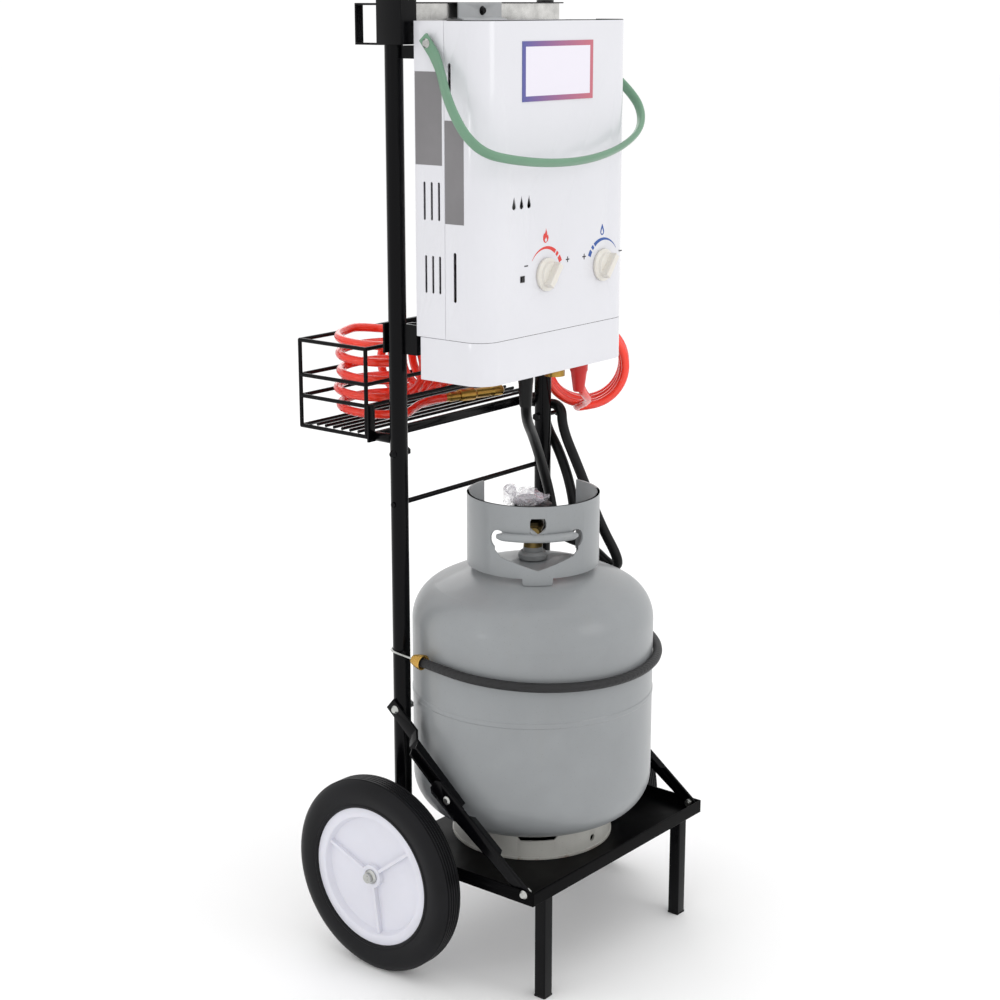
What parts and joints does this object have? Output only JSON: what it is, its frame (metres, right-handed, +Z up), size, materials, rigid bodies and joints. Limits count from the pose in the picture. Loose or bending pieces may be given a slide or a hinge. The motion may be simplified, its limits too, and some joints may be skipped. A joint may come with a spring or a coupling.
{
  "type": "portable water heater cart",
  "caption": "Instantaneous gas water heater on a wheeled upright cart that carries a propane cylinder and a wire basket with a coiled hose.",
  "frame": {"origin": "on the ground, under the middle of the object's outline", "axes": "+Z up, -Y towards the heater's front, +X towards its right-hand side as one faces it"},
  "size_m": [0.519, 0.4219, 1.202],
  "materials": {
    "black_paint": "gloss black paint",
    "zinc": "zinc plated",
    "light_grey_paint": "satin light grey paint",
    "black_plastic": "moulded",
    "black_rubber": "moulded rubber",
    "tyre": "solid ribbed rubber",
    "white_nylon": "moulded nylon",
    "tank_enamel": "light grey enamel",
    "brass": "machined",
    "film": "clear crumpled film",
    "heater_white": "gloss white powder coat",
    "grille": "matt black",
    "steel": "sheet steel",
    "copper": "drawn copper",
    "off_white_plastic": "moulded",
    "green_plastic": "moulded sage green",
    "badge": "printed plate",
    "label_grey": "sticker",
    "hose_black": "gas hose",
    "hose_red": "translucent polyurethane",
    "elastic": "covered elastic cord"
  },
  "bodies": {
    "cart": {"lower_uprights": "black_paint", "upper_uprights": "black_paint", "top_bar": "black_paint", "lower_crossbar": "black_paint", "heater_standoffs": "black_paint", "hose_hanger": "black_paint", "axle_brackets": "black_paint", "tray": "black_paint", "legs": "black_paint", "brace_arms": "black_paint", "brace_links": "black_paint", "basket_rails": "black_paint", "basket_floor": "black_paint", "basket_mounts": "black_paint", "top_bar_strip": "zinc", "frame_bolts": "zinc", "axle": "zinc", "axle_sleeves": "zinc", "brace_pins": "zinc", "bail_screws": "zinc", "hanger_plate": "light_grey_paint", "regulator": "light_grey_paint", "tube_caps": "black_plastic", "coupling_nut": "black_plastic", "switch_housing": "black_plastic", "ignition_box": "black_plastic", "leg_feet": "black_rubber", "tank_shell": "tank_enamel", "tank_collar": "tank_enamel", "foot_ring": "tank_enamel", "valve_body": "brass", "heater_valves": "brass", "nozzle": "brass", "strap_ends": "brass", "rear_casing": "heater_white", "front_cover": "heater_white", "lower_cover": "heater_white", "top_grille": "grille", "heater_works": "steel", "inner_pipes": "copper", "badge": "badge", "side_labels": "label_grey", "gas_hose": "hose_black", "red_hose_bunch": "hose_red", "red_hose_run": "hose_red", "red_hose_stack": "hose_red", "red_hose_links": "hose_red", "strap_cord": "elastic"},
    "left_wheel": {"wheel_disc_left": "white_nylon", "tyre_left": "tyre", "wheel_bush_left": "brass"},
    "right_wheel": {"wheel_disc_right": "white_nylon", "tyre_right": "tyre", "wheel_bush_right": "brass"},
    "bail": {"bail_handle": "green_plastic"},
    "gas_dial": {"gas_knob": "off_white_plastic"},
    "water_dial": {"water_knob": "off_white_plastic"},
    "season_switch": {"switch_slider": "black_plastic"},
    "valve_wheel": {"valve_handwheel": "black_plastic", "valve_film": "film"}
  },
  "joints": [
    {"name": "left_wheel_spin", "type": "hinge", "parent": "cart", "child": "left_wheel", "pos_m": [-0.214, 0.0359, 0.127], "axis": [1, 0, 0], "continuous": true},
    {"name": "right_wheel_spin", "type": "hinge", "parent": "cart", "child": "right_wheel", "pos_m": [0.214, 0.0359, 0.127], "axis": [1, 0, 0], "continuous": true},
    {"name": "bail_swing", "type": "hinge", "parent": "cart", "child": "bail", "pos_m": [0, -0.00435, 1.152], "axis": [-1, 0, 0], "range_deg": [-6, 130]},
    {"name": "gas_knob_turn", "type": "hinge", "parent": "cart", "child": "gas_dial", "pos_m": [-0.0265, -0.09135, 0.879], "axis": [0, -1, 0], "range_deg": [-60, 60]},
    {"name": "water_knob_turn", "type": "hinge", "parent": "cart", "child": "water_dial", "pos_m": [0.089, -0.09135, 0.879], "axis": [0, -1, 0], "range_deg": [-60, 60]},
    {"name": "season_switch_slide", "type": "slide", "parent": "cart", "child": "season_switch", "axis": [1, 0, 0], "range_m": [0, 0.0028]},
    {"name": "cylinder_valve_turn", "type": "hinge", "parent": "cart", "child": "valve_wheel", "pos_m": [0, -0.04355, 0.575], "axis": [0, 0, 1], "range_deg": [0, 720]}
  ]
}
